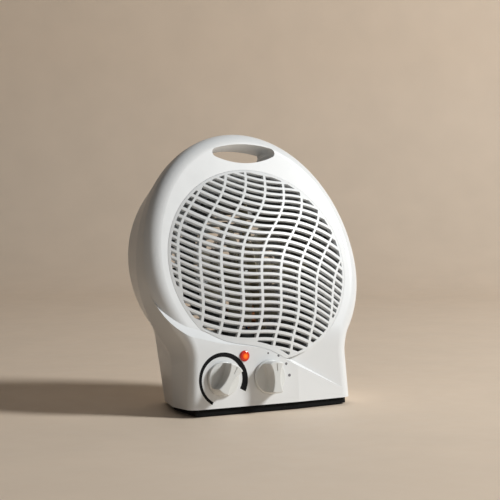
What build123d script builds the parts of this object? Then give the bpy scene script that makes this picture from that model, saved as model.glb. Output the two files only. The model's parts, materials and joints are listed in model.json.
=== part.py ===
from build123d import *
import os
from math import atan2, cos, degrees, exp, radians, sin, sqrt, tan

# An upright fan heater: two moulded covers that lean back, a domed grille, and the works inside.
# Row frame: +Z up, the front faces -Y, the origin is on the floor under the middle.
# The front is bent: its lower part stands nearly upright and its upper part leans back more.
# Pieces are drawn in one of three leaning frames, each with X to the viewer's right, Y up the
# slope and Z straight out: BODY has the mean lean, FACE lies on the upper part and PANEL on the
# lower one. All three meet at the ridge, and heights are measured through it from the floor.

# Body
LEAN = 12.0  # mean lean of the front, in degrees
BEND = 7.0  # how much more the upper part leans, and how much less the lower part
RIDGE_V = 66.0  # height of the ridge between them
RIDGE_R = 70.0  # its rounding
FACE_Y = -52.6  # where the mean front meets the floor
HEAD_R = 110.0  # half width of the round head
HEAD_V = 135.2  # height of its centre
HEAD_TOP = 129.8  # from that centre to the top of the head
FOOT_W = 86.0  # half width at the floor
WAIST_W = 83.3  # half width at the waist
WAIST_V = 54.0
WAIST_R = 33.0  # radius of the hollow at the waist
WALL = 2.2
ROUND = 13.0  # rounding between front and sides
SEAM_N = -38.0  # the joint of the covers, behind the ridge
BACK_Y = 48.4  # where the rear cover's flat back meets the floor
BACK_LEAN = 4.0  # and how far it leans back, in degrees
BACK_HEAD_R = 101.5
BACK_HEAD_V = 139.1
BACK_TOP = 86.0
BACK_FOOT_W = 66.4
BACK_WAIST_W = 75.0
BACK_ROUND = 13.0
SKIRT_FRONT = (-52.3, 7.3)  # depth and height of the covers' lower edge, in front
SKIRT_BACK = (57.7, 1.6)  # and behind
BELOW = 20.0  # how far the rough shapes run below the floor

# Handle opening, up the face
GRIP_HALF = 40.0
GRIP_SHIFT = 3.0  # how far it stands to the right of the middle
GRIP_V = 245.5
GRIP_UP = 7.5
GRIP_DOWN = 11.5
GRIP_END_R = 4.5

# Control panel
PANEL_RISE = 5.0
PANEL_ROUND = 8.0
CREASE = 0.54  # fall of the crease towards the foot's corner
FADE_U = 74.0  # the panel slopes down to the front's own level here, beside the foot's corner
FADE = 5.7  # by this angle, in degrees
# The panel's upper edge by place, and how far its step runs out for each millimetre of height.
# The last point is the knee, where the arch turns into the crease.
ARCH = [(-71.6, 68.3, 1.2), (-45.4, 63.2, 0.8), (-19.4, 60.0, 0.6), (-0.1, 53.9, 0.6)]
ARCH += [(16.4, 44.8, 0.6)]
PANEL_DEEP = -25.0  # the level that the panel's shape starts from
DIAL = (-53.0, 33.5)
SWITCH = (-6.2, 32.5)
LAMP = (-30.4, 52.4)
LENS_R = 4.9
LENS_STEM_R = 4.3
KNOB_R = 15.2
KNOB_GAP = 0.5
KNOB_SKIRT = 3.0  # height of the knob's round skirt
KNOB_H = 15.5  # height of the whole knob
GRIP_R = 14.2  # radius round the knob's grip bar
SCOOP_R = 30.0  # radius of the two hollows that leave the bar between them
BAR_HALF = 3.6  # half the bar's least thickness
SPINDLE_R = 2.5
SPINDLE_HOLE_R = 5.0
THERMOSTAT_TURN = 33.0  # where the knob points at rest, in degrees clockwise from up
CONTROL_SCREW = 11.0  # from a spindle to each of its two screws

# Grille, measured from its own centre
GRILLE_V = 137.3
GRILLE_R = 91.0
GRILLE_FIT = 0.15
GRILLE_RISE = 12.0
GRILLE_DEPTH = 4.0
FLANGE_R = 94.0
FLANGE_N = 5.2  # how far behind the face the flange reaches
SLOT_R = 88.4
SLAT_PITCH = 6.5
SLAT = 2.5
SLAT_BEND = 0.0042
SMALLEST_SLOT = 6.0  # square millimetres
RIBS = range(-5, 7)
RIB_PITCH = 19.0
RIB_W = 2.7
RIB_BASE = -7.0  # where the middle rib stands at half height
RIB_LEAP = 48.0  # how far each rib leans to the right at the top
RIB_LEAP_V = 30.0  # height of the middle of that lean
RIB_LEAP_LAG = 0.35  # how much lower it comes on ribs further right
RIB_LEAP_RUN = 14.4
RIB_HEEL = 14.7  # how far it turns left at the foot
RIB_HEEL_V = -65.0
RIB_HEEL_RUN = 9.4

# Tray, feet and screws
FOOT_DROP = 1.2  # the tray's underside stands this high
TRAY_FLOOR = 3.2
TRAY_LIP = 6.0  # how far the tray reaches up inside the covers
TRAY_INSET = 3.0
TRAY_HALF = 79.0  # half width of what shows below the covers
TRAY_SKIN = 2.0  # thickness of the ledges beside that
FOOT_R = 7.0
FEET = [(-64.0, -31.3), (64.0, -31.3), (-50.0, 32.7), (50.0, 32.7)]
BASE_FRONT = (64.0, -18.5)
BASE_REAR = (61.0, 20.7)
BASE_POST_R = 4.0
POST_WEB = 2.0  # thickness of the web between such a post and the wall
POST_R = 4.0
SCREW_R = 1.5
THREAD_R = 1.55
HOUSING_POSTS = [(-58.0, 218.0), (58.0, 218.0), (-60.0, 56.0), (60.0, 56.0)]
WELL_R = 3.6
WELL_N = -48.0
DUCT_POSTS = [(-94.0, 169.5), (94.0, 169.5), (-94.0, 105.1), (94.0, 105.1)]
DUCT_POST_N = -14.0

# Air intake and cord hole in the back, by place and height
INTAKE_Z = 120.0
INTAKE_R = 58.0
INTAKE_PITCH = 6.0
INTAKE_SLOT = 3.2
INTAKE_BAR = 20.0
GLAND = (44.0, 24.0)
GLAND_R = 5.0

# Works, measured back from the face
DUCT_R = 60.0
DUCT_WALL = 1.4
DUCT_BACK = -42.0
FLARE_R = 76.0
FLARE_N = -7.0
BOARD = 0.8
BOARD_BACK = -22.0
BOARD_FRONT = -6.0
COIL_N = -12.0
COIL_R = 2.2
COIL_RINGS = (22.0, 42.0)
FAN_R = 52.0
FAN_HUB_R = 13.0
FAN_BACK = -40.5
FAN_FRONT = -28.0
BLADES = 7
BLADE_PITCH = 34.0
SHAFT_R = 1.6
SHAFT_FIT = 0.04
BRACKET_BACK = -43.5
BRACKET_END = 66.0
CORE_FRONT = -48.0
CORE_BACK = -60.0
ROTOR_R = 13.0
BEARING_R = 5.0
MOTOR_SCREW = 19.0
CONTROL_N = PANEL_RISE - WALL  # the panel's inner face
BLOCK = (10.0, 31.7)
TAB = 5.7  # from the switch's spindle to its terminals, each way
TAB_END = CONTROL_N - 28.2
WIRE_R = 1.0
WIRE_BEND = 4.0

FROM_BELOW = (Align.CENTER, Align.CENTER, Align.MIN)


def body_frame():
    """The frame with the mean lean."""
    lean = radians(LEAN)
    return Plane(origin=(0, FACE_Y, 0), x_dir=(1, 0, 0), z_dir=(0, -cos(lean), sin(lean)))


def about_ridge(degrees):
    """A turn about the ridge's line."""
    return Pos(0, RIDGE_V, 0) * Rot(degrees, 0, 0) * Pos(0, -RIDGE_V, 0)


BODY = body_frame().location
FACE = BODY * about_ridge(-BEND)
PANEL = BODY * about_ridge(BEND)
BACK = Pos(0, BACK_Y, 0) * Rot(90 - BACK_LEAN, 0, 0)


def outline(head_r, head_v, head_top, foot_w, waist_w, inset):
    """Front view of the body: a round head on a narrower foot, drawn in by inset."""
    head = Vector(0, head_v)
    foot = Vector(foot_w, 0)
    along = (Vector(waist_w, WAIST_V) - foot).normalized()
    out = Vector(along.Y, -along.X)
    reach = foot + out * WAIST_R - head
    middle = reach.dot(along)
    step = -middle - sqrt(middle**2 - reach.length**2 + (head_r + WAIST_R) ** 2)
    hollow = foot + out * WAIST_R + along * step
    to_head = (head - hollow).normalized()
    bend_r = WAIST_R + inset
    low = hollow - out * bend_r
    high = hollow + to_head * bend_r
    mid = hollow + (to_head - out).normalized() * bend_r
    r = head_r - inset
    cheek = head + ((high - head).normalized() + Vector(1, 0)).normalized() * r
    toe = low + along * ((-BELOW - low.Y) / along.Y)
    side = []
    for flip in (1, -1):
        points = [Vector(p.X * flip, p.Y) for p in (toe, low, mid, high, cheek, Vector(r, head_v))]
        side += [Line(points[0], points[1])]
        side += [ThreePointArc(points[1], points[2], points[3])]
        side += [ThreePointArc(points[3], points[4], points[5])]
    crown = EllipticalCenterArc((0, head_v), r, head_top - inset, start_angle=0, arc_size=180)
    sole = Line((-toe.X, -BELOW), (toe.X, -BELOW))
    return make_face(Curve() + side + [crown, sole])


def front_outline(inset):
    return outline(HEAD_R, HEAD_V, HEAD_TOP, FOOT_W, WAIST_W, inset)


def back_outline(inset):
    return outline(BACK_HEAD_R, BACK_HEAD_V, BACK_TOP, BACK_FOOT_W, BACK_WAIST_W, inset)


def bend(level):
    """All that lies behind the bent front, moved out to a level, in the body frame."""
    slope = tan(radians(BEND))
    tip = Vector(RIDGE_V, level / cos(radians(BEND)))
    points = [(-100, -(RIDGE_V + 100) * slope + tip.Y), tip, (400, -(400 - RIDGE_V) * slope + tip.Y)]
    outer = FilletPolyline(*points, radius=RIDGE_R + level)
    closing = Polyline(points[2], (400, -200), (-100, -200), points[0])
    side = Plane(origin=(-200, 0, 0), x_dir=(0, 1, 0), z_dir=(1, 0, 0))
    return extrude(side * make_face(outer + closing), 400)


def rim(block, seam):
    """The edges round a block's bent front, without those at the seam and the sole."""
    edges = block.edges().filter_by(lambda e: e.bounding_box().min.Z > seam + 1e-3)
    edges = edges.filter_by(lambda e: e.bounding_box().max.Y > -BELOW + 1)
    return edges.filter_by(lambda e: e.bounding_box().size.Y > 1e-3)


def body_block(inset, level, seam, rounding):
    """The front cover's body up to a level, with its front edge rounded."""
    block = extrude(Pos(0, 0, seam) * front_outline(inset), 60) & bend(level)
    return fillet(rim(block, seam), rounding - inset)


def panel_region(level, inset):
    """Front view of the raised panel at a level."""
    across = Vector(CREASE, 1).normalized()
    points = [Vector(u, v) + across * ((PANEL_RISE - level) * run - inset) for u, v, run in ARCH]
    start = points[0] - Vector(1, -0.2) * 70
    end = points[-1] + Vector(1, -CREASE) * 90
    low = -BELOW - 60
    curves = [Line(start, points[0]), Spline(points, tangents=[(1, -0.2), (1, -CREASE)])]
    curves += [Line(points[-1], end), Line(end, (end.X, low))]
    curves += [Line((end.X, low), (start.X, low)), Line((start.X, low), start)]
    return Pos(0, 0, level) * make_face(Curve() + curves)


def panel_prism(inset):
    """All that lies behind the panel's front, with the sloping step as its side, in the body frame."""
    levels = (PANEL_DEEP, PANEL_RISE + 9)
    prism = loft([panel_region(level, inset) for level in levels], ruled=True)
    below = Box(400, 600, 120, align=(Align.MAX, Align.CENTER, Align.MAX))
    return about_ridge(BEND) * (prism & Pos(FADE_U, 0, -inset) * Rot(0, FADE, 0) * below)


def grip(grow):
    """Front view of the handle's opening."""
    left, right = (GRIP_SHIFT - GRIP_HALF, GRIP_V), (GRIP_SHIFT + GRIP_HALF, GRIP_V)
    top = ThreePointArc(left, (GRIP_SHIFT, GRIP_V + GRIP_UP), right)
    bottom = ThreePointArc(right, (GRIP_SHIFT, GRIP_V - GRIP_DOWN), left)
    lens = make_face(Curve() + [top, bottom])
    lens = fillet(lens.vertices(), GRIP_END_R)
    return offset(lens, grow) if grow else lens


def above_skirt(solid):
    """What stands above the covers' sloping lower edge."""
    (y1, z1), (y2, z2) = SKIRT_FRONT, SKIRT_BACK
    plane = Plane(origin=(0, y1, z1), x_dir=(1, 0, 0), z_dir=(0, z1 - z2, y2 - y1))
    return split(solid, bisect_by=plane, keep=Keep.TOP)


def rod(u, v, r, low, high):
    """A round bar standing out from the face between two levels."""
    return Pos(u, v, (low + high) / 2) * Cylinder(r, high - low)


def slab(u, v, w, h, low, high):
    """A rectangular block between two levels."""
    return Pos(u, v, (low + high) / 2) * Box(w, h, high - low)


def tube(u, v, r, hole, low, high):
    return rod(u, v, r, low, high) - rod(u, v, hole, low - 1, high + 1)


def union(solids):
    solids = list(solids)
    return solids[0].fuse(*solids[1:])


def group(solids):
    """Separate equal solids that share one node."""
    return Compound(children=list(solids))


def hub(solid):
    """Moves a piece that is drawn round the fan's axis to its place on the face."""
    return Pos(0, GRILLE_V, 0) * solid


def front_block(inset, seam=SEAM_N):
    """The front with its raised panel, drawn in by inset, in the body frame."""
    raised = body_block(inset, PANEL_RISE - inset, seam, PANEL_ROUND) & panel_prism(inset)
    return body_block(inset, -inset, seam, ROUND) + raised


def base_post(x, y, block):
    """A post that a base screw drives into, with a web that ties it to the wall beside it."""
    side = 1 if x > 0 else -1
    web = Pos(x + side * 10, y, 12) * Box(20, POST_WEB, 16)
    post = Pos(x, y, 0) * Cylinder(BASE_POST_R, 20, align=FROM_BELOW)
    return (above_tray(post) + above_tray_lip(web)) & block


def front_cover():
    """The moulded front: face, raised panel, grille opening, handle opening and posts."""
    outer = front_block(0)
    panel = panel_prism(0)
    face = about_ridge(-BEND)
    lower = about_ridge(BEND)
    walls = [extrude(Pos(0, 0, SEAM_N) * grip(WALL), 40)]
    walls += [rod(u, v, POST_R, SEAM_N, PANEL_RISE) for u, v in HOUSING_POSTS]
    walls += [face * rod(u, v, POST_R, DUCT_POST_N, 0) for u, v in DUCT_POSTS]
    cover = (outer - front_block(WALL, SEAM_N - 2)) + (union(walls) & outer)
    cuts = [extrude(Pos(0, 0, SEAM_N - 1) * grip(0), 50)]
    cuts += [face * rod(0, GRILLE_V, GRILLE_R + GRILLE_FIT, -15, 20) - panel]
    cuts += [rod(u, v, THREAD_R, SEAM_N - 1, SEAM_N + 16) for u, v in HOUSING_POSTS]
    cuts += [face * rod(u, v, THREAD_R, DUCT_POST_N - 1, -4) for u, v in DUCT_POSTS]
    cuts += [lower * rod(*spot, SPINDLE_HOLE_R, 0, 10) for spot in (DIAL, SWITCH)]
    cuts += [lower * rod(*LAMP, LENS_STEM_R + 0.1, 0, 10)]
    screws = control_holes(DIAL) + control_holes(SWITCH)
    cuts += [lower * rod(u, v, THREAD_R, 0, 10) for u, v in screws]
    cover = above_skirt(BODY * (cover - union(cuts)))
    for x in (-BASE_FRONT[0], BASE_FRONT[0]):
        cover = cover + base_post(x, BASE_FRONT[1], BODY * outer)
        cover = cover - Pos(x, BASE_FRONT[1], 0) * Cylinder(THREAD_R, 13, align=FROM_BELOW)
    return cover


def rear_block(inset):
    """The rear cover's body: straight runs from the joint's outline to the flat back."""
    front = BACK.inverse() * BODY * Pos(0, 0, SEAM_N) * front_outline(inset)
    block = loft([front, Pos(0, 0, inset) * back_outline(inset)], ruled=True)
    edges = block.edges().filter_by(lambda e: e.bounding_box().max.Z < inset + 1e-3)
    edges = edges.filter_by(lambda e: e.bounding_box().max.Y > -BELOW + 1)
    return BACK * fillet(edges, BACK_ROUND - inset)


def rear_cover():
    """The moulded back: walls, handle tunnel, air slots, cord hole and screw wells."""
    outer = rear_block(0)
    walls = [BODY * (Pos(0, 0, -120) * extrude(grip(WALL), 120 + SEAM_N))]
    walls += [BODY * rod(u, v, WELL_R + 1.6, -130, SEAM_N) for u, v in HOUSING_POSTS]
    cover = (outer - rear_block(WALL)) + (union(walls) & outer)
    cuts = [BODY * (Pos(0, 0, -121) * extrude(grip(0), 122 + SEAM_N))]
    cuts += [BODY * rod(u, v, WELL_R, -140, WELL_N) for u, v in HOUSING_POSTS]
    cuts += [BODY * rod(u, v, SCREW_R + 0.2, -140, 0) for u, v in HOUSING_POSTS]
    cuts += [BACK * Pos(*GLAND) * Cylinder(GLAND_R + 0.1, 20)]
    cuts += air_slots()
    cover = above_skirt(cover - union(cuts))
    for x in (-BASE_REAR[0], BASE_REAR[0]):
        cover = cover + base_post(x, BASE_REAR[1], outer)
        cover = cover - Pos(x, BASE_REAR[1], 0) * Cylinder(THREAD_R, 13, align=FROM_BELOW)
    return cover


def air_slots():
    """Level slots in the back, each row split by two upright bars."""
    slots = []
    rows = int(INTAKE_R / INTAKE_PITCH)
    for row in range(-rows, rows + 1):
        z = row * INTAKE_PITCH
        half = sqrt(INTAKE_R**2 - z**2)
        cuts = [x for x in (-INTAKE_BAR, INTAKE_BAR) if abs(x) < half - 6]
        ends = [-half] + [x + s for x in cuts for s in (-1.5, 1.5)] + [half]
        for left, right in zip(ends[::2], ends[1::2]):
            slot = SlotOverall(right - left, INTAKE_SLOT) if right - left > 5 else Circle(1.6)
            face = Pos((left + right) / 2, INTAKE_Z + z, -5) * slot
            slots += [BACK * extrude(face, 15)]
    return slots


def above_tray(solid):
    return solid & Pos(0, 0, TRAY_FLOOR) * Box(400, 400, 60, align=FROM_BELOW)


def above_tray_lip(solid):
    """What stands clear of the tray's upturned edge."""
    (y1, z1), (y2, z2) = SKIRT_FRONT, SKIRT_BACK
    low = z1 + TRAY_LIP + 0.3
    plane = Plane(origin=(0, y1, low), x_dir=(1, 0, 0), z_dir=(0, z1 - z2, y2 - y1))
    return split(solid, bisect_by=plane, keep=Keep.TOP)


def tray_block(inset):
    """The space inside the covers' lower edge, drawn in by inset."""
    return BODY * front_block(inset) + rear_block(inset)


def beside_tray(half, rise):
    """What lies beyond a half width on both sides and below the covers' edge, raised by rise."""
    (y1, z1), (y2, z2) = SKIRT_FRONT, SKIRT_BACK
    plane = Plane(origin=(0, y1, z1 + rise), x_dir=(1, 0, 0), z_dir=(0, z1 - z2, y2 - y1))
    sides = Box(400, 400, 60) - Box(2 * half, 400, 60)
    return split(sides, bisect_by=plane, keep=Keep.BOTTOM)


def base_plate():
    """The black tray that closes the bottom, narrower where it stands below the covers."""
    (y1, z1), (y2, z2) = SKIRT_FRONT, SKIRT_BACK
    plane = Plane(origin=(0, y1, z1 + TRAY_LIP), x_dir=(1, 0, 0), z_dir=(0, z1 - z2, y2 - y1))
    outer = split(tray_block(TRAY_INSET), bisect_by=plane, keep=Keep.BOTTOM)
    outer = outer & Pos(0, 0, FOOT_DROP) * Box(400, 400, 60, align=FROM_BELOW)
    outer = outer - beside_tray(TRAY_HALF, 0.3)
    hollow = tray_block(TRAY_INSET + WALL) & Pos(0, 0, TRAY_FLOOR) * Box(400, 400, 60, align=FROM_BELOW)
    tray = outer - (hollow - beside_tray(TRAY_HALF - WALL, 0.3 + TRAY_SKIN))
    for x, y in FEET:
        tray = tray - Pos(x, y, 0) * Cylinder(FOOT_R, FOOT_DROP + 1, align=FROM_BELOW)
    for x, y in base_screw_places():
        tray = tray - Pos(x, y, 0) * Cylinder(SCREW_R + 0.2, 10, align=FROM_BELOW)
        tray = tray - Pos(x, y, TRAY_FLOOR) * Cylinder(BASE_POST_R + 0.3, 24, align=FROM_BELOW)
    return tray


def base_screw_places():
    return [(s * x, y) for x, y in (BASE_FRONT, BASE_REAR) for s in (-1, 1)]


def rubber_feet():
    pad = Cylinder(FOOT_R, FOOT_DROP + 1, align=FROM_BELOW)
    pad = fillet(pad.edges().group_by(Axis.Z)[0], 0.8)
    return group(Pos(x, y, 0) * pad for x, y in FEET)


def screw(length, head_r=2.8, head_h=1.8):
    """A self-tapping screw with its head's underside at the origin, pointing along +Z."""
    head = Pos(0, 0, -head_h) * Cylinder(head_r, head_h, align=FROM_BELOW)
    head = fillet(head.edges().group_by(Axis.Z)[0], 0.7)
    cross = Pos(0, 0, -head_h) * (Box(3.2, 0.7, 1.6) + Box(0.7, 3.2, 1.6))
    shank = Cylinder(SCREW_R, length, align=FROM_BELOW)
    return head - cross + chamfer(shank.edges().group_by(Axis.Z)[-1], 0.6)


def rib(number, height):
    """Sideways place of a grille rib at a height."""
    base = RIB_BASE + RIB_PITCH * number
    middle = RIB_LEAP_V - RIB_LEAP_LAG * base
    leap = RIB_LEAP / (1 + exp((middle - height) / RIB_LEAP_RUN))
    heel = RIB_HEEL / (1 + exp((height - RIB_HEEL_V) / RIB_HEEL_RUN))
    return base + leap - heel


def slat(level, across):
    """Height of a slat: level at the middle rib, rising to the left and falling to the right."""
    w = across - rib(0, level)
    return level - SLAT_BEND * w * abs(w)


def crossing(number, side, level):
    """Where one side of a rib meets one side of a slat."""
    height = level
    for _ in range(40):
        across = rib(number, height) + side
        height = slat(level, across)
    return Vector(across, height)


def slot_face(number, level):
    """Front view of the slot between two ribs and two slats."""
    half = RIB_W / 2
    low, high = level + SLAT / 2, level + SLAT_PITCH - SLAT / 2
    a, b = crossing(number, half, low), crossing(number + 1, -half, low)
    c, d = crossing(number + 1, -half, high), crossing(number, half, high)
    under, over = (a.X + b.X) / 2, (c.X + d.X) / 2
    bottom = ThreePointArc(a, (under, slat(low, under)), b)
    top = ThreePointArc(c, (over, slat(high, over)), d)
    return make_face(Curve() + [bottom, Line(b, c), top, Line(d, a)])


def slot_faces():
    """All slots, clipped to the round field and kept off the raised panel."""
    window = Circle(SLOT_R) - Pos(0, -GRILLE_V, 0) * panel_region(0, -1.0)
    faces = []
    rows = int(SLOT_R * 1.45 / SLAT_PITCH)
    for row in range(-rows, rows):
        for number in RIBS:
            face = slot_face(number, row * SLAT_PITCH)
            if face.center().length > SLOT_R + 12:
                continue
            kept = (face & window).faces()
            faces += [f for f in kept if f.area > SMALLEST_SLOT]
    return faces


def front_grille():
    """The domed snap-in grille, with a rim and a flange behind the cover."""
    sphere_r = (GRILLE_R**2 + GRILLE_RISE**2) / (2 * GRILLE_RISE)
    plate = Face(Wire(Circle(GRILLE_R).edges()), [face.outer_wire() for face in slot_faces()])
    field = extrude(Pos(0, 0, -GRILLE_DEPTH - 1) * plate, GRILLE_RISE * 2 + 6, dir=(0, 0, 1))
    ball = Sphere(sphere_r) - Sphere(sphere_r - GRILLE_DEPTH)
    cap = Pos(0, 0, GRILLE_RISE - sphere_r) * ball & rod(0, 0, FLANGE_R, -FLANGE_N, GRILLE_RISE + 5)
    rim_ring = tube(0, 0, GRILLE_R, SLOT_R + 0.4, -FLANGE_N, -GRILLE_DEPTH + 2)
    flange = tube(0, 0, FLANGE_R, SLOT_R + 0.4, -FLANGE_N, -WALL)
    behind_cover = about_ridge(BEND) * body_block(WALL, -WALL, SEAM_N, ROUND)
    ring = hub(rim_ring + flange) & behind_cover
    return FACE * (hub(field & cap) + ring - about_ridge(BEND) * panel_prism(-GRILLE_FIT))


def clock(degrees):
    """A turn clockwise from up, seen from the front."""
    return Rot(0, 0, -degrees)


def knob():
    """A control knob that points up: a round skirt and a bar between two hollows."""
    low = PANEL_RISE + KNOB_GAP
    top = low + KNOB_H
    skirt = rod(0, 0, KNOB_R, low, low + KNOB_SKIRT)
    skirt = fillet(skirt.edges().group_by(Axis.Z)[-1], 1.0)
    grip_bar = rod(0, 0, GRIP_R, low, top)
    for side in (-1, 1):
        scoop = rod(side * (SCOOP_R + BAR_HALF), -2.0, SCOOP_R, low + KNOB_SKIRT, top + 1)
        scoop = fillet(scoop.edges().group_by(Axis.Z)[0], 3.0)
        grip_bar = grip_bar - scoop
    grip_bar = fillet(grip_bar.edges().group_by(Axis.Z)[-1], 1.2)
    body = skirt + grip_bar
    body = body - slab(0, 9.0, 1.0, 6.4, top - 0.6, top + 1)
    body = body - tube(0, 0, KNOB_R - 1.2, 5.5, low - 1, low + 1.6)
    return body - spindle_tip(low - 1, top - 4, 0.03)


def spindle_tip(low, high, grow):
    """The flatted end of a spindle between two levels."""
    return rod(0, 0, SPINDLE_R + grow, low, high) - slab(0, 4.6 + grow, 9, 6, low - 1, high + 1)


def place(spot, solid, turn=0.0):
    """Sets a piece drawn about its own spindle into the panel."""
    return PANEL * Pos(*spot) * clock(turn) * solid


def spindle():
    """A control spindle: round in its bush, flatted in the knob."""
    low = PANEL_RISE + KNOB_GAP
    return rod(0, 0, SPINDLE_R, CONTROL_N - 9, low) + spindle_tip(low, low + KNOB_H - 4.5, 0)


def control_holes(spot):
    return [(spot[0] + side * CONTROL_SCREW, spot[1]) for side in (-1, 1)]


def mounting_plate(height):
    """A control's steel plate behind the panel, with its spindle bush and screw holes."""
    plate = slab(0, 0, 2 * CONTROL_SCREW + 5.5, height, CONTROL_N - 1.5, CONTROL_N)
    plate = fillet(plate.edges().filter_by(Axis.Z), 2.5)
    plate = plate + rod(0, 0, SPINDLE_HOLE_R - 0.4, CONTROL_N - 10, PANEL_RISE - 0.6)
    holes = [rod(s * CONTROL_SCREW, 0, THREAD_R, 0, 5) for s in (-1, 1)]
    return plate - holes - rod(0, 0, SPINDLE_R + 0.05, -20, 10)


def thermostat_body():
    """Steel plate and bush with a stack of ceramic-like blocks behind them."""
    stack = slab(0, 0, 24, 20, CONTROL_N - 12, CONTROL_N - 1.5)
    stack = fillet(stack.edges().filter_by(Axis.Z), 2)
    stack = stack - rod(0, 0, SPINDLE_R + 0.05, -20, 10)
    pillar = slab(-8.5, 0, 6, 10, CONTROL_N - 27, CONTROL_N - 12)
    holes = [rod(s * CONTROL_SCREW, 0, THREAD_R, -10, 5) for s in (-1, 1)]
    return place(DIAL, mounting_plate(20) + stack + pillar - holes)


def thermostat_blades():
    """Two contact springs that stand across the end of the thermostat's spindle."""
    low = slab(4.6, 0, 20, 6, CONTROL_N - 19, CONTROL_N - 18.4)
    high = slab(4.6, 0, 20, 6, CONTROL_N - 23, CONTROL_N - 22.4)
    dots = [rod(11.5, 0, 1.8, CONTROL_N - 20.6, CONTROL_N - 19)]
    dots += [rod(11.5, 0, 1.8, CONTROL_N - 22.4, CONTROL_N - 20.9)]
    return place(DIAL, group([low + dots[0], high + dots[1]]))


def switch_body():
    """A rotary switch: steel plate, round moulded drum and its bush."""
    drum = rod(0, 0, 13.5, CONTROL_N - 20, CONTROL_N - 1.5)
    drum = fillet(drum.edges().group_by(Axis.Z)[0], 1.5)
    drum = drum - rod(0, 0, SPINDLE_R + 0.05, CONTROL_N - 9.5, 10)
    holes = [rod(s * CONTROL_SCREW, 0, THREAD_R, -10, 5) for s in (-1, 1)]
    return place(SWITCH, mounting_plate(22) + drum - holes)


def switch_terminals():
    """Four flat tabs on the back of the switch."""
    tab = slab(0, 0, 4.8, 0.8, CONTROL_N - 28, CONTROL_N - 20) - slab(0, 0, 1.4, 2, -23, -21)
    places = [Rot(0, 0, 90 * step + 45) * Pos(0, TAB * sqrt(2), 0) for step in range(4)]
    return place(SWITCH, group(spot * tab for spot in places))


def control_screws(spot):
    """The two screws under a knob that hold its control."""
    driven = Pos(0, 0, PANEL_RISE) * Rot(180, 0, 0) * screw(9, 2.6, 1.0)
    return PANEL * group(Pos(u, v) * driven for u, v in control_holes(spot))


def lamp_lens():
    """Red domed lens with a stem through the panel."""
    dome = rod(0, 0, LENS_R, PANEL_RISE, PANEL_RISE + 1.8)
    dome = fillet(dome.edges().group_by(Axis.Z)[-1], 1.6)
    lens = dome + rod(0, 0, LENS_STEM_R, CONTROL_N - 2.5, PANEL_RISE)
    return place(LAMP, lens - rod(0, 0, LENS_STEM_R - 1.2, -20, PANEL_RISE))


def neon_lamp():
    """Small glass indicator behind the lens."""
    bulb = rod(0, 0, 2.6, CONTROL_N - 12, PANEL_RISE - 0.5)
    return place(LAMP, fillet(bulb.edges().group_by(Axis.Z)[-1], 2.0))


def fan_duct():
    """The ring round the fan, flared to the grille, with four arms and two ears."""
    outer = DUCT_R + DUCT_WALL
    duct = tube(0, 0, outer, DUCT_R, DUCT_BACK, BOARD_FRONT - 8)
    flare_low = Pos(0, 0, BOARD_FRONT - 8) * Circle(outer)
    flare = loft([flare_low, Pos(0, 0, FLARE_N) * Circle(FLARE_R)], ruled=True)
    hollow_low = Pos(0, 0, BOARD_FRONT - 8) * Circle(DUCT_R)
    flare = flare - loft([hollow_low, Pos(0, 0, FLARE_N) * Circle(FLARE_R - DUCT_WALL)], ruled=True)
    duct = duct + flare
    for u, v in DUCT_POSTS:
        reach = Vector(u, v - GRILLE_V)
        arm = Pos((reach.length + outer) / 2, 0, 0) * Box(reach.length - outer + 1, 9, 2.5)
        arm = Rot(0, 0, degrees(atan2(reach.Y, reach.X))) * arm
        pad = Cylinder(POST_R, 2.5)
        level = Pos(0, 0, DUCT_POST_N - 1.25)
        duct = duct + level * arm + level * Pos(reach.X, reach.Y) * pad
        duct = duct - rod(reach.X, reach.Y, SCREW_R + 0.2, DUCT_POST_N - 4, 0)
    for side in (-1, 1):
        ear = slab(side * BRACKET_END, 0, 11, 14, DUCT_BACK, DUCT_BACK + 9)
        duct = duct + (ear - rod(0, 0, DUCT_R + 0.5, -60, 0))
        duct = duct - rod(side * BRACKET_END, 0, THREAD_R, DUCT_BACK - 1, DUCT_BACK + 7)
    for turn in (0, 90, 180, 270):
        notch = slab(DUCT_R, 0, 6, BOARD + 0.3, BOARD_BACK - 0.2, BOARD_BACK + 5)
        duct = duct - Rot(0, 0, turn) * notch
    return FACE * hub(duct)


def mica_board():
    """One board of the element's cross, lying across, with notches for the coils."""
    width = 2 * DUCT_R - 0.6
    board = slab(0, 0, width, BOARD, BOARD_BACK, BOARD_FRONT)
    board = board + slab(0, 0, 2 * DUCT_R + 2.4, BOARD, BOARD_BACK, BOARD_BACK + 4.6)
    for ring in COIL_RINGS:
        for side in (-1, 1):
            notch = slab(side * ring, 0, 2 * COIL_R + 0.4, 4, COIL_N - COIL_R - 0.2, 0)
            board = board - notch
    return board


def level_mica_board():
    halved = slab(0, 0, BOARD + 0.2, 4, (BOARD_BACK + BOARD_FRONT) / 2, 0)
    return FACE * hub(mica_board() - halved)


def upright_mica_board():
    middle = (BOARD_BACK + BOARD_FRONT) / 2
    halved = slab(0, 0, BOARD + 0.2, 4, BOARD_BACK - 1, middle)
    return FACE * hub(Rot(0, 0, 90) * (mica_board() - halved))


def heating_coil(ring, start):
    """The outer shape of a coiled wire bent into a ring that stops short of closing."""
    section = Plane.XZ * Pos(ring, COIL_N) * Circle(COIL_R)
    return FACE * hub(Rot(0, 0, start) * revolve(section, Axis.Z, 340))


def thermal_cutout():
    """A round bimetal cut-out on the upright board."""
    body = Rot(0, 90, 0) * Cylinder(5.5, 5, align=FROM_BELOW)
    body = body + Pos(5, 0, 0) * Rot(0, 90, 0) * Cylinder(3.6, 2.4, align=FROM_BELOW)
    tabs = [Pos(3, s * 3, -6.5) * Box(0.7, 2.6, 5) for s in (-1, 1)]
    return FACE * hub(Pos(BOARD / 2, 52.5, -14.5) * (body + tabs[0] + tabs[1]))


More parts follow.
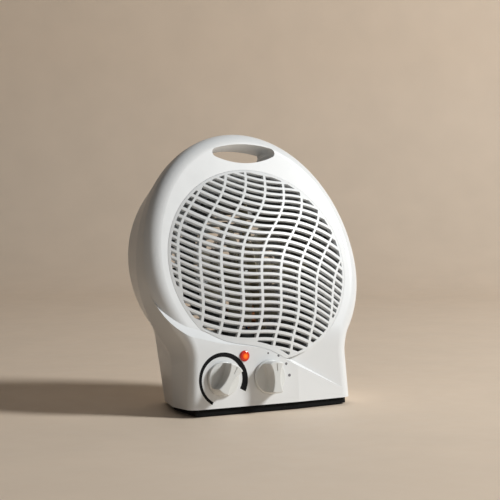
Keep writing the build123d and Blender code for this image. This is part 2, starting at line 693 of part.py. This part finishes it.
def thermal_fuse():
    """A small cased fuse lying along the upright board."""
    case = Pos(BOARD / 2 + 2, -52, -15) * Rot(90, 0, 0) * Cylinder(2, 9)
    pins = Pos(BOARD / 2 + 2, -52, -15) * Rot(90, 0, 0) * Cylinder(0.5, 13)
    return FACE * hub(case + pins)


def fan_impeller():
    """Axial impeller: a hollow hub with pitched blades."""
    hub_part = rod(0, 0, FAN_HUB_R, FAN_BACK, FAN_FRONT)
    hub_part = fillet(hub_part.edges().group_by(Axis.Z)[-1], 3)
    hub_part = hub_part - tube(0, 0, FAN_HUB_R - 1.6, 4.0, FAN_BACK - 1, FAN_FRONT - 3)
    ring = tube(0, 0, FAN_R, FAN_HUB_R - 1, FAN_BACK + 0.6, FAN_FRONT - 0.8)
    blade = Pos(FAN_R / 2, 0, (FAN_BACK + FAN_FRONT) / 2) * Rot(BLADE_PITCH, 0, 0) * Box(FAN_R, 30, 1.5)
    blades = [(Rot(0, 0, 360 / BLADES * step) * blade) & ring for step in range(BLADES)]
    body = hub_part + [solid for blade in blades for solid in blade.solids()]
    return FACE * hub(body - rod(0, 0, SHAFT_R + 0.01, -60, 0))


def fan_clip():
    """Spring washer that holds the impeller on the shaft."""
    return FACE * hub(tube(0, 0, 3.6, SHAFT_R + 0.01, FAN_FRONT, FAN_FRONT + 0.8))


def motor_shaft():
    return FACE * hub(chamfer(rod(0, 0, SHAFT_R, -66, -26).edges().group_by(Axis.Z)[-1], 0.4))


def motor_rotor():
    """The motor's turning iron, with its end rings."""
    body = rod(0, 0, ROTOR_R, CORE_BACK + 1, CORE_FRONT - 1)
    rings = rod(0, 0, ROTOR_R - 2, CORE_BACK + 0.4, CORE_FRONT + 0.6)
    return FACE * hub(body + rings - rod(0, 0, SHAFT_R + 0.01, -70, -40))


def motor_core():
    """Stack of iron plates round the rotor, with the window that the winding fills."""
    core = slab(0, -11, 52, 62, CORE_BACK, CORE_FRONT)
    core = fillet(core.edges().filter_by(Axis.Z), 3)
    core = core - rod(0, 0, ROTOR_R + 0.4, -70, -40) - slab(0, -27, 30, 14, -70, -40)
    holes = [rod(s * MOTOR_SCREW, 10, THREAD_R, -70, -40) for s in (-1, 1)]
    return FACE * hub(core - holes)


def motor_coil():
    """The winding and its bobbin round the core's lower limb."""
    limb = slab(0, -38, 26, 8.4, CORE_BACK - 0.2, CORE_FRONT + 0.2)
    coil = slab(0, -37, 26, 18, CORE_BACK - 5, CORE_FRONT + 5)
    coil = fillet(coil.edges().filter_by(Axis.X), 3)
    ends = [slab(s * 12.4, -37, 1.2, 20, CORE_BACK - 6, CORE_FRONT + 6) for s in (-1, 1)]
    return FACE * hub(coil + ends[0] + ends[1] - limb)


def strap(low, high, length, width):
    """A flat strap with rounded ends across the fan's axis."""
    return extrude(Pos(0, 0, low) * SlotOverall(length, width), high - low)


def motor_bracket():
    """Steel bar across the duct that carries the motor and its front bearing."""
    bar = strap(BRACKET_BACK, DUCT_BACK, 2 * BRACKET_END + 12, 14) + rod(0, 0, 13, BRACKET_BACK, DUCT_BACK)
    ears = slab(0, 10, 2 * MOTOR_SCREW + 9, 9, BRACKET_BACK, DUCT_BACK)
    holes = [rod(s * BRACKET_END, 0, SCREW_R + 0.2, -60, -30) for s in (-1, 1)]
    holes += [rod(s * MOTOR_SCREW, 10, THREAD_R, -60, -30) for s in (-1, 1)]
    return FACE * hub(bar + ears - holes - rod(0, 0, BEARING_R, -60, -30))


def motor_rear_plate():
    """Steel plate behind the core that carries the rear bearing."""
    plate = slab(0, 5, 2 * MOTOR_SCREW + 9, 22, CORE_BACK - 1.5, CORE_BACK)
    plate = fillet(plate.edges().filter_by(Axis.Z), 4)
    plate = plate - rod(0, 0, BEARING_R, -70, -40)
    holes = [rod(s * MOTOR_SCREW, 10, SCREW_R + 0.2, -70, -40) for s in (-1, 1)]
    return FACE * hub(plate - holes)


def motor_bearings():
    """Two sintered bushes, one in the bracket and one in the rear plate."""
    bore = SHAFT_R + SHAFT_FIT
    front = tube(0, 0, BEARING_R, bore, BRACKET_BACK - 2.5, DUCT_BACK)
    rear = tube(0, 0, BEARING_R, bore, CORE_BACK - 4, CORE_BACK)
    return FACE * hub(group([front, rear]))


def motor_spacers():
    """Sleeves that stand the core off its bracket."""
    sleeve = tube(0, 10, 3.2, SCREW_R + 0.1, CORE_FRONT, BRACKET_BACK)
    return FACE * hub(group(Pos(s * MOTOR_SCREW, 0) * sleeve for s in (-1, 1)))


def screws_along(places, level, length):
    """Equal screws driven forwards, with their heads' undersides on a level."""
    return FACE * group(Pos(u, v, level) * screw(length) for u, v in places)


def motor_screws():
    places = [(s * MOTOR_SCREW, GRILLE_V + 10) for s in (-1, 1)]
    return screws_along(places, CORE_BACK - 1.5, 19)


def bracket_screws():
    places = [(s * BRACKET_END, GRILLE_V) for s in (-1, 1)]
    return screws_along(places, BRACKET_BACK, 8)


def duct_screws():
    return screws_along(DUCT_POSTS, DUCT_POST_N - 2.5, 11)


def housing_screws():
    return BODY * group(Pos(u, v, WELL_N) * screw(24) for u, v in HOUSING_POSTS)


def base_screws():
    """Four screws that hold the tray up to the covers' posts."""
    return group(Pos(x, y, FOOT_DROP) * screw(10, 2.8, 1.1) for x, y in base_screw_places())


def terminal_block():
    """Moulded block with three ways, standing on the tray's floor."""
    block = Pos(*BLOCK, TRAY_FLOOR) * Box(38, 15, 12, align=FROM_BELOW)
    block = chamfer(block.edges().group_by(Axis.Z)[-1], 1)
    for step in (-1, 0, 1):
        spot = Pos(BLOCK[0] + 12 * step, BLOCK[1], TRAY_FLOOR + 6)
        block = block - spot * Rot(90, 0, 0) * Cylinder(1.9, 30)
        block = block - spot * Cylinder(2.2, 12, align=FROM_BELOW)
    return block


def cord_gland():
    """The bush where a mains cord would come through the back."""
    body = Cylinder(GLAND_R, 9, align=FROM_BELOW)
    collar = fillet(Cylinder(7.5, 1.9, align=FROM_BELOW).edges().group_by(Axis.Z)[-1], 0.8)
    nut = Pos(0, 0, -7.5) * Cylinder(7.5, 3.0, align=FROM_BELOW)
    bush = Pos(0, 0, -7) * body + collar + nut - Cylinder(3.4, 40)
    return BACK * Pos(*GLAND) * Rot(180, 0, 0) * bush


def wire(points):
    """An insulated lead along straight runs joined by arcs."""
    path = FilletPolyline(*points, radius=WIRE_BEND)
    plane = Plane(origin=path @ 0, z_dir=path % 0)
    return sweep(plane * Circle(WIRE_R), path)


def at(u, v, n):
    """A point of the upper leaning frame, in the row's frame."""
    return (FACE * Pos(u, v, n)).position


def beside(spot, u, v, n):
    """A point behind the panel, measured from a control's spindle."""
    return (PANEL * Pos(spot[0] + u, spot[1] + v, n)).position


def block_way(step):
    """Where a lead enters the terminal block."""
    return Vector(BLOCK[0] + 12 * step, BLOCK[1] - 7.5, TRAY_FLOOR + 6)


def live_wires():
    """Block to thermostat, thermostat to switch, and switch to motor."""
    feed = [block_way(-1), (-2, 15.7, 10), (-30, 7.7, 18)]
    feed += [beside(DIAL, -8.5, 0, -35), beside(DIAL, -8.5, 0, CONTROL_N - 27.2)]
    link = [beside(DIAL, -8.5, 3.5, CONTROL_N - 27.2), beside(DIAL, -8.5, 3.5, -37)]
    link += [beside(SWITCH, -16, 8.5, -42), beside(SWITCH, -TAB, TAB, -38)]
    link += [beside(SWITCH, -TAB, TAB, TAB_END)]
    motor = [beside(SWITCH, TAB, TAB, TAB_END), beside(SWITCH, TAB, TAB, -34), (-4, 5.7, 46)]
    motor += [at(-6, 80, -52), at(-6, 90.8, -54)]
    return group([wire(feed), wire(link), wire(motor)])


def neutral_wires():
    """Block to motor, and block to heating element."""
    motor = [block_way(0), (10, 15.7, 10), (15, 14.7, 34), at(7, 78, -53), at(6, 90.8, -54)]
    element = [block_way(1), (22, 15.7, 11), (20, 1.7, 32), at(11, 64, -29), at(6, 75, -21)]
    return group([wire(motor), wire(element)])


def heater_wires():
    """Sleeved leads from the switch to the two coils."""
    inner = [beside(SWITCH, -TAB, -TAB, TAB_END), beside(SWITCH, -TAB, -TAB, -33)]
    inner += [beside(SWITCH, -10.5, 16.5, -34), at(-5, 65, -25), at(-1.6, 75, -20)]
    outer = [beside(SWITCH, TAB, -TAB, TAB_END), beside(SWITCH, TAB, -TAB, -32)]
    outer += [beside(SWITCH, 11.5, 16.5, -32), at(5, 65, -25), at(1.6, 75, -20)]
    return group([wire(inner), wire(outer)])


def lamp_wires():
    """Two thin leads from the indicator to the switch."""
    leads = []
    for side in (-1, 1):
        u = 1.2 * side
        route = [beside(LAMP, u, 0, CONTROL_N - 12), beside(LAMP, u, 0, -16)]
        route += [beside(LAMP, u + 6, -4.5, -25), beside(SWITCH, 2 * side - 12, 7.5 + 2 * side, -27)]
        route += [beside(SWITCH, 2 * side - 11, 4.5 + side, -24)]
        leads.append(wire(route))
    return group(leads)


NODES = {
    "front_cover": front_cover,
    "front_grille": front_grille,
    "rear_cover": rear_cover,
    "base_plate": base_plate,
    "rubber_feet": rubber_feet,
    "lamp_lens": lamp_lens,
    "neon_lamp": neon_lamp,
    "thermostat_knob": lambda: place(DIAL, knob(), THERMOSTAT_TURN),
    "thermostat_spindle": lambda: place(DIAL, spindle(), THERMOSTAT_TURN),
    "thermostat_body": thermostat_body,
    "thermostat_blades": thermostat_blades,
    "thermostat_screws": lambda: control_screws(DIAL),
    "switch_knob": lambda: place(SWITCH, knob()),
    "switch_spindle": lambda: place(SWITCH, spindle()),
    "switch_body": switch_body,
    "switch_terminals": switch_terminals,
    "switch_screws": lambda: control_screws(SWITCH),
    "fan_duct": fan_duct,
    "upright_mica_board": upright_mica_board,
    "level_mica_board": level_mica_board,
    "inner_heating_coil": lambda: heating_coil(COIL_RINGS[0], 100),
    "outer_heating_coil": lambda: heating_coil(COIL_RINGS[1], 280),
    "thermal_cutout": thermal_cutout,
    "thermal_fuse": thermal_fuse,
    "fan_impeller": fan_impeller,
    "fan_clip": fan_clip,
    "motor_shaft": motor_shaft,
    "motor_rotor": motor_rotor,
    "motor_core": motor_core,
    "motor_coil": motor_coil,
    "motor_bracket": motor_bracket,
    "motor_rear_plate": motor_rear_plate,
    "motor_bearings": motor_bearings,
    "motor_spacers": motor_spacers,
    "motor_screws": motor_screws,
    "bracket_screws": bracket_screws,
    "duct_screws": duct_screws,
    "terminal_block": terminal_block,
    "cord_gland": cord_gland,
    "live_wires": live_wires,
    "neutral_wires": neutral_wires,
    "heater_wires": heater_wires,
    "lamp_wires": lamp_wires,
    "housing_screws": housing_screws,
    "base_screws": base_screws,
}


os.makedirs("parts", exist_ok=True)
for name, make in NODES.items():
    export_step(make(), f"parts/{name}.step")
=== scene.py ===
import bmesh
import bpy
import json
from math import cos, pi, radians, sin, tau
from mathutils import Matrix, Vector


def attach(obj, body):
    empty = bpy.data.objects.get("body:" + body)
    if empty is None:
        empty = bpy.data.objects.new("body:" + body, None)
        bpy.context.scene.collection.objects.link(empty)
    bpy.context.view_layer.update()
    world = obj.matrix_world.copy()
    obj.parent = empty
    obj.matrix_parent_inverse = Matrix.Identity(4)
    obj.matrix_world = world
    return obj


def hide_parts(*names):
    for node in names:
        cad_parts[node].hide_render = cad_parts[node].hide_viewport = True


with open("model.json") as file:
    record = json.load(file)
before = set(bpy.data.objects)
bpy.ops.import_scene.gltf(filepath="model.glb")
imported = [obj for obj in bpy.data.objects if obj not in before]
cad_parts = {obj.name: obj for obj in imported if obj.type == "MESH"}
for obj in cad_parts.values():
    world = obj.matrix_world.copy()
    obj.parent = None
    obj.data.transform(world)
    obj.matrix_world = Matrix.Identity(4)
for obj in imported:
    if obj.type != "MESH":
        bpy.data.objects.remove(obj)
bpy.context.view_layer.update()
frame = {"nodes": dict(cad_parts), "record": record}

MM = 0.001

# The bent front: its mean lean, how far its two parts turn from that about the ridge, the ridge's
# height, where the mean plane meets the floor, and how far the panel stands out
LEAN = 12.0
BEND = 7.0
RIDGE_V = 66.0
FACE_Y = -52.6
PANEL_RISE = 5.0

# Places on the front: the two knobs, the indicator, the grille's middle and the coils' depth
DIAL = (-53.0, 33.5)
SWITCH = (-6.2, 32.5)
LAMP = (-30.4, 52.4)
GRILLE_V = 137.3
COIL_N = -12.0

# Each heating coil's ring: its radius and the angle where it starts, then the winding on it
COILS = {"inner_heating_coil": (22.0, 100.0), "outer_heating_coil": (42.0, 280.0)}
COIL_R = 2.2
WIRE_R = 0.28
WIRE_RING = COIL_R - 0.3  # the winding's radius, to the middle of the wire
COIL_SWEEP = 340.0
TURNS_PER_RADIUS = 5.2  # turns in all, for each mm of the ring's radius
POINTS_PER_TURN = 12

# The photograph's camera
IMAGE = 500.0
FOCAL_PX = 1350.0
SENSOR = 36.0
CAMERA_YAW = radians(27.5)
CAMERA_PLACE = (-592.6, -1110.6, 204.0)
AXIS_PX = (237.0, 185.0)


def leaning(bend):
    """A leaning frame: X to the right, Y up the slope, Z straight out of it, in millimetres."""
    turn = Matrix.Rotation(radians(90 - LEAN), 4, "X")
    body = Matrix.Scale(MM, 4) @ Matrix.Translation((0, FACE_Y, 0)) @ turn
    up, down = Matrix.Translation((0, RIDGE_V, 0)), Matrix.Translation((0, -RIDGE_V, 0))
    return body @ up @ Matrix.Rotation(radians(bend), 4, "X") @ down


FACE = leaning(-BEND)
PANEL = leaning(BEND)


def link(name, mesh):
    obj = bpy.data.objects.new(name, mesh)
    bpy.context.scene.collection.objects.link(obj)
    return obj


def make_camera():
    data = bpy.data.cameras.new("camera")
    data.sensor_width = SENSOR
    data.lens = FOCAL_PX / IMAGE * SENSOR
    data.shift_x = (IMAGE / 2 - AXIS_PX[0]) / IMAGE
    data.shift_y = (AXIS_PX[1] - IMAGE / 2) / IMAGE
    camera = link("camera", data)
    camera.location = Vector(CAMERA_PLACE) * MM
    camera.rotation_euler = (pi / 2, 0, -CAMERA_YAW)
    bpy.context.scene.camera = camera


def node(tree, kind, **values):
    made = tree.nodes.new(kind)
    for key, value in values.items():
        if key in made.inputs:
            made.inputs[key].default_value = value
        else:
            setattr(made, key, value)
    return made


def noise(tree, where, scale, detail=2.0, rough=0.5):
    made = node(tree, "ShaderNodeTexNoise")
    made.inputs["Scale"].default_value = scale
    made.inputs["Detail"].default_value = detail
    made.inputs["Roughness"].default_value = rough
    tree.links.new(where, made.inputs["Vector"])
    return made.outputs["Fac"]


def spread(tree, value, low, high):
    """Maps a noise value from 0.3 to 0.7 onto low to high."""
    made = node(tree, "ShaderNodeMapRange")
    made.inputs["From Min"].default_value = 0.3
    made.inputs["From Max"].default_value = 0.7
    made.inputs["To Min"].default_value = low
    made.inputs["To Max"].default_value = high
    tree.links.new(value, made.inputs["Value"])
    return made.outputs["Result"]


def mix(tree, factor, first, second):
    """Mixes two colours, each given as a colour or as a socket."""
    made = node(tree, "ShaderNodeMix", data_type="RGBA")
    for name, value in (("A", first), ("B", second)):
        socket = [s for s in made.inputs if s.name == name and s.type == "RGBA"][0]
        if isinstance(value, bpy.types.NodeSocket):
            tree.links.new(value, socket)
        else:
            socket.default_value = (*value, 1.0)
    tree.links.new(factor, made.inputs["Factor"])
    return [s for s in made.outputs if s.type == "RGBA"][0]


def surface(name, color, rough, metal=0.0, drift=0.04, grain=900.0, bump=0.05, worn=0.25,
            worn_color=None, stretch=None, coat=0.0, bevel=0.0, shine=0.5):
    """A moulded, turned or rolled surface: drifting colour, fine grain and worn edges."""
    material = bpy.data.materials.new(name)
    material.use_nodes = True
    tree = material.node_tree
    shader = tree.nodes["Principled BSDF"]
    shader.inputs["Metallic"].default_value = metal
    shader.inputs["Coat Weight"].default_value = coat
    shader.inputs["Specular IOR Level"].default_value = shine
    place = tree.nodes.new("ShaderNodeTexCoord").outputs["Object"]
    if stretch:
        mapping = node(tree, "ShaderNodeMapping")
        mapping.inputs["Scale"].default_value = stretch
        tree.links.new(place, mapping.inputs["Vector"])
        place = mapping.outputs["Vector"]
    dark = tuple(c * (1 - drift) for c in color)
    light = tuple(min(1.0, c * (1 + drift)) for c in color)
    broad = spread(tree, noise(tree, place, 14.0), 0.0, 1.0)
    base = mix(tree, broad, dark, light)
    if worn:
        edge = node(tree, "ShaderNodeValToRGB")
        edge.color_ramp.elements[0].position = 0.54
        edge.color_ramp.elements[1].position = 0.66
        edge.color_ramp.elements[1].color = (worn, worn, worn, 1)
        sharp = tree.nodes.new("ShaderNodeNewGeometry").outputs["Pointiness"]
        tree.links.new(sharp, edge.inputs["Fac"])
        rub = worn_color or tuple(c * 0.5 + 0.45 for c in color)
        base = mix(tree, edge.outputs["Color"], base, rub)
    tree.links.new(base, shader.inputs["Base Color"])
    gloss = spread(tree, noise(tree, place, 60.0, 4.0), rough * 0.85, min(1.0, rough * 1.15))
    tree.links.new(gloss, shader.inputs["Roughness"])
    relief = node(tree, "ShaderNodeBump")
    relief.inputs["Strength"].default_value = bump
    relief.inputs["Distance"].default_value = 0.0003
    tree.links.new(noise(tree, place, grain, 2.0, 0.6), relief.inputs["Height"])
    if bevel:
        soft = node(tree, "ShaderNodeBevel", samples=4)
        soft.inputs["Radius"].default_value = bevel
        tree.links.new(soft.outputs["Normal"], relief.inputs["Normal"])
    tree.links.new(relief.outputs["Normal"], shader.inputs["Normal"])
    return material


def lens_material():
    """Glossy red plastic with a small glow near its middle."""
    material = surface("lens_red", (0.72, 0.03, 0.015), 0.12, worn=0.0, bump=0.01, coat=0.6)
    tree = material.node_tree
    shader = tree.nodes["Principled BSDF"]
    place = tree.nodes.new("ShaderNodeTexCoord").outputs["Object"]
    centre = PANEL @ Vector((LAMP[0] + 0.4, LAMP[1] - 0.2, PANEL_RISE + 1.6))
    bright_r, dark_r = 0.6, 3.2
    away = node(tree, "ShaderNodeVectorMath", operation="DISTANCE")
    tree.links.new(place, away.inputs[0])
    away.inputs[1].default_value = centre
    near = node(tree, "ShaderNodeMapRange")
    near.inputs["From Min"].default_value = bright_r * MM
    near.inputs["From Max"].default_value = dark_r * MM
    near.inputs["To Min"].default_value = 1.0
    near.inputs["To Max"].default_value = 0.0
    tree.links.new(away.outputs["Value"], near.inputs["Value"])
    glow = mix(tree, near.outputs["Result"], (0.05, 0.0, 0.0), (1.0, 0.30, 0.02))
    tree.links.new(glow, shader.inputs["Emission Color"])
    shader.inputs["Emission Strength"].default_value = 0.8
    return material


WHITE = (0.80, 0.815, 0.82)
MATERIALS = {
    "white_shell": surface("white_shell", WHITE, 0.34, drift=0.012, bump=0.06, coat=0.15,
                           worn=0.15, worn_color=(0.86, 0.86, 0.85)),
    "white_grille": surface("white_grille", WHITE, 0.36, drift=0.012, bump=0.05, worn=0.1,
                            worn_color=(0.86, 0.86, 0.85), bevel=0.0006),
    # black_base: the base tray is black plastic, and it is made near-black with little shine so that
    # it also paints the shade of the gap under the body
    "black_base": surface("black_base", (0.004, 0.004, 0.004), 0.6, worn=0.0, bump=0.2, shine=0.12),
    "foot_rubber": surface("foot_rubber", (0.02, 0.02, 0.02), 0.8, worn=0.1, bump=0.3),
    "knob_white": surface("knob_white", (0.76, 0.77, 0.75), 0.33, drift=0.015, bump=0.05,
                          worn=0.2, worn_color=(0.86, 0.86, 0.84), bevel=0.0004),
    "lens_red": lens_material(),
    "lamp_glass": surface("lamp_glass", (0.9, 0.45, 0.2), 0.08, worn=0.0, bump=0.01),
    "steel_plate": surface("steel_plate", (0.5, 0.5, 0.49), 0.35, metal=1.0, stretch=(1, 12, 12)),
    "screw_steel": surface("screw_steel", (0.42, 0.42, 0.41), 0.3, metal=1.0, worn=0.4),
    "spindle_plastic": surface("spindle_plastic", (0.7, 0.69, 0.64), 0.5),
    "control_block": surface("control_block", (0.72, 0.69, 0.6), 0.7, grain=400.0, bump=0.2),
    "switch_black": surface("switch_black", (0.04, 0.04, 0.04), 0.5, worn=0.3),
    "brass_tab": surface("brass_tab", (0.7, 0.52, 0.22), 0.35, metal=1.0, drift=0.12),
    "duct_dark": surface("duct_dark", (0.018, 0.018, 0.018), 0.6, worn=0.15),
    "mica": surface("mica", (0.42, 0.35, 0.21), 0.45, drift=0.22, grain=300.0, bump=0.15,
                    worn=0.2, worn_color=(0.6, 0.52, 0.38)),
    "nichrome": surface("nichrome", (0.3, 0.27, 0.25), 0.4, metal=1.0, drift=0.25),
    "impeller_grey": surface("impeller_grey", (0.33, 0.3, 0.22), 0.45, worn=0.2),
    "core_iron": surface("core_iron", (0.14, 0.14, 0.15), 0.5, metal=1.0, stretch=(1, 40, 1)),
    "copper": surface("copper", (0.62, 0.24, 0.1), 0.35, metal=1.0, stretch=(60, 4, 4)),
    "bronze": surface("bronze", (0.45, 0.3, 0.12), 0.5, metal=1.0, drift=0.15),
    "lead_brown": surface("lead_brown", (0.12, 0.045, 0.02), 0.4),
    "lead_blue": surface("lead_blue", (0.03, 0.08, 0.3), 0.4),
    "lead_white": surface("lead_white", (0.7, 0.67, 0.6), 0.8, grain=1500.0, bump=0.3),
    "block_white": surface("block_white", (0.72, 0.72, 0.68), 0.45),
    "gland_black": surface("gland_black", (0.02, 0.02, 0.02), 0.6, worn=0.2),
    "print_black": surface("print_black", (0.006, 0.006, 0.007), 0.5, drift=0.2, worn=0.0, shine=0.15),
    "print_grey": surface("print_grey", (0.16, 0.16, 0.17), 0.4, drift=0.1, worn=0.0),
}


def dress_frame():
    """Gives each carried-over node the finish of its slot."""
    slots = {p["node"]: p["material_slot"] for p in frame["record"]["subparts"]}
    for name, obj in frame["nodes"].items():
        obj.data.materials.clear()
        obj.data.materials.append(MATERIALS[slots[name]])


def solid_from(name, sections, material):
    """A closed skin through rings of points given in the panel's frame."""
    bm = bmesh.new()
    rings = [[bm.verts.new(PANEL @ Vector(p)) for p in ring] for ring in sections]
    count = len(rings[0])
    for a, b in zip(rings, rings[1:]):
        for i in range(count):
            j = (i + 1) % count
            bm.faces.new((a[i], a[j], b[j], b[i]))
    bm.faces.new(list(reversed(rings[0])))
    bm.faces.new(rings[-1])
    bmesh.ops.recalc_face_normals(bm, faces=bm.faces)
    mesh = bpy.data.meshes.new(name)
    bm.to_mesh(mesh)
    bm.free()
    obj = link(name, mesh)
    mesh.materials.append(MATERIALS[material])
    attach(obj, "housing")


PRINT = 0.12  # how far printed marks stand off the panel
SUNK = 0.02  # how far they reach into it

# The printed arc: centre, outer radius, ends in degrees clockwise from straight up, and its width,
# which grows by a power of the way along
ARC_CENTRE = (DIAL[0] + 0.9, DIAL[1] - 1.0)
ARC_OUT = 24.2
ARC_START, ARC_END = -150.0, 118.0
ARC_THIN, ARC_THICK = 2.5, 6.2
ARC_GROWTH = 1.8
ARC_STEPS = 90

# The switch's marks: angles clockwise from straight up, their distance from the knob's axis, the
# first one's radius and how much each next one gains
MARK_ANGLES = (0, 30, 60, 90)
MARK_RING = 21.0
MARK_R, MARK_GAIN = 0.9, 0.15
MARK_SIDES = 24


def dial_arc():
    """The printed arc round the thermostat's knob, growing thicker clockwise."""
    sections = []
    for step in range(ARC_STEPS + 1):
        part = step / ARC_STEPS
        angle = radians(90 - (ARC_START + (ARC_END - ARC_START) * part))
        width = ARC_THIN + (ARC_THICK - ARC_THIN) * part**ARC_GROWTH
        ring = []
        for r, n in ((ARC_OUT, 0), (ARC_OUT, PRINT), (ARC_OUT - width, PRINT), (ARC_OUT - width, 0)):
            u, v = ARC_CENTRE[0] + r * cos(angle), ARC_CENTRE[1] + r * sin(angle)
            ring.append((u, v, PANEL_RISE + n - SUNK))
        sections.append(ring)
    solid_from("dial_arc", sections, "print_black")


def dot(name, spot, r, material):
    """A flat round print on the panel."""
    turns = [tau * k / MARK_SIDES for k in range(MARK_SIDES)]
    ring = [(spot[0] + r * cos(a), spot[1] + r * sin(a)) for a in turns]
    low, high = PANEL_RISE - SUNK, PANEL_RISE + PRINT
    solid_from(name, [[(u, v, n) for u, v in ring] for n in (low, high)], material)


def switch_marks():
    """Plain dots for the switch's positions."""
    for step, angle in enumerate(MARK_ANGLES):
        turn = radians(90 - angle)
        spot = (SWITCH[0] + MARK_RING * cos(turn), SWITCH[1] + MARK_RING * sin(turn))
        dot(f"switch_mark_{step}", spot, MARK_R + MARK_GAIN * step, "print_grey")


def wound_coil(name):
    """The heating wire: a close helix bent round a ring that stops short of closing."""
    ring_r, start = COILS[name]
    sweep, turns = radians(COIL_SWEEP), int(ring_r * TURNS_PER_RADIUS)
    curve = bpy.data.curves.new(name + "_wire", "CURVE")
    curve.dimensions = "3D"
    curve.bevel_depth = WIRE_R * MM
    curve.bevel_resolution = 1
    spline = curve.splines.new("POLY")
    total = turns * POINTS_PER_TURN
    spline.points.add(total)
    for k in range(total + 1):
        around = radians(start) + sweep * k / total
        twist = tau * k / POINTS_PER_TURN
        r = ring_r + WIRE_RING * cos(twist)
        point = (r * cos(around), GRILLE_V + r * sin(around), COIL_N + WIRE_RING * sin(twist))
        spline.points[k].co = (*(FACE @ Vector(point)), 1)
    obj = link(name + "_wire", curve)
    curve.materials.append(MATERIALS["nichrome"])
    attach(obj, "housing")
    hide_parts(name)


def stage_surface():
    """Pale floor that curves up into a backdrop."""
    bm = bmesh.new()
    near, far, bend, height, half = 3.0, 1.2, 0.5, 3.0, 4.0
    turns = [radians(6 * k) for k in range(1, 16)]
    profile = [(-near, 0.0), (far, 0.0)]
    profile += [(far + bend * sin(a), bend - bend * cos(a)) for a in turns]
    profile += [(far + bend, height)]
    turn = Matrix.Rotation(-CAMERA_YAW, 4, "Z")
    rows = [[bm.verts.new(turn @ Vector((x, y, z))) for y, z in profile] for x in (-half, half)]
    for i in range(len(profile) - 1):
        bm.faces.new((rows[0][i], rows[1][i], rows[1][i + 1], rows[0][i + 1]))
    mesh = bpy.data.meshes.new("floor")
    bm.to_mesh(mesh)
    bm.free()
    for face in mesh.polygons:
        face.use_smooth = True
    floor = link("floor", mesh)
    pale = surface("floor_pale", (0.80, 0.665, 0.53), 0.6, drift=0.02, worn=0.0, bump=0.02)
    mesh.materials.append(pale)


def lamp(name, place, size, watts, color):
    """A round area light aimed at the middle of the heater."""
    data = bpy.data.lights.new(name, "AREA")
    data.shape = "DISK"
    data.size = size
    data.energy = watts
    data.color = color
    obj = link(name, data)
    obj.location = place
    aim = Vector((0, 0, 0.12)) - Vector(place)
    obj.rotation_mode = "QUATERNION"
    obj.rotation_quaternion = aim.to_track_quat("-Z", "Y")


def make_light():
    lamp("key", (1.75, -1.35, 1.55), 0.6, 66.0, (0.955, 0.975, 0.98))
    lamp("front_fill", (0.3, -2.3, 0.7), 1.4, 3.0, (0.95, 0.98, 1.0))
    world = bpy.data.worlds.new("world")
    bpy.context.scene.world = world
    world.use_nodes = True
    back = world.node_tree.nodes["Background"]
    back.inputs["Color"].default_value = (1.0, 0.98, 0.97, 1)
    back.inputs["Strength"].default_value = 0.07


bpy.context.scene.view_settings.view_transform = "Standard"
make_camera()
make_light()
stage_surface()
dress_frame()
dial_arc()
switch_marks()
for coil in COILS:
    wound_coil(coil)
